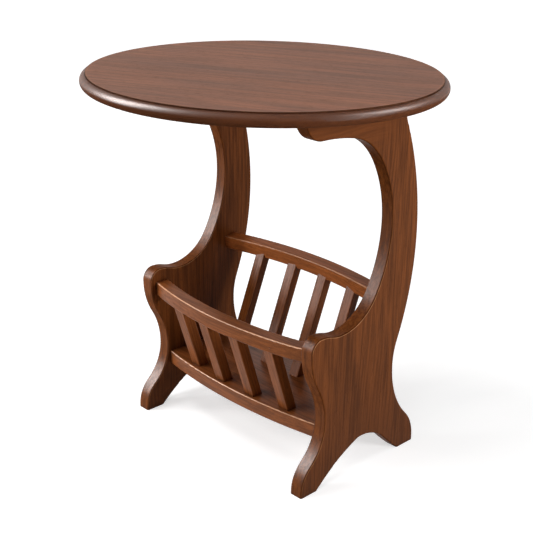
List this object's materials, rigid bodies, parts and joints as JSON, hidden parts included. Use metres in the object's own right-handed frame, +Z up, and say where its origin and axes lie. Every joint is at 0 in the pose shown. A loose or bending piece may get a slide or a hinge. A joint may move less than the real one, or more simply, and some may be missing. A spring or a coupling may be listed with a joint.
{
  "type": "magazine table with rack",
  "caption": "Round wooden side table on two C-shaped side panels, with a bowed, slatted magazine rack between them below the top.",
  "frame": {"origin": "on the floor, under the centre of the round top", "axes": "+X to the right, across the rack from panel to panel; +Y to the back, where the uprights stand; +Z up"},
  "size_m": [0.4999, 0.5, 0.555],
  "materials": {
    "top_walnut": "walnut stain under satin lacquer",
    "panel_walnut": "walnut stain under satin lacquer",
    "rack_walnut": "walnut stain under satin lacquer",
    "dowel_beech": "plain beech",
    "screw_steel": "plated steel"
  },
  "bodies": {
    "root": {"table_top": "top_walnut", "left_side_panel": "panel_walnut", "right_side_panel": "panel_walnut", "front_top_rail": "rack_walnut", "rear_top_rail": "rack_walnut", "floor_board": "rack_walnut", "front_slat_1": "rack_walnut", "front_slat_2": "rack_walnut", "front_slat_3": "rack_walnut", "front_slat_4": "rack_walnut", "rear_slat_1": "rack_walnut", "rear_slat_2": "rack_walnut", "rear_slat_3": "rack_walnut", "rear_slat_4": "rack_walnut", "front_rail_dowels": "dowel_beech", "rear_rail_dowels": "dowel_beech", "floor_board_dowels": "dowel_beech", "top_dowels": "dowel_beech", "top_screws": "screw_steel"}
  },
  "joints": []
}
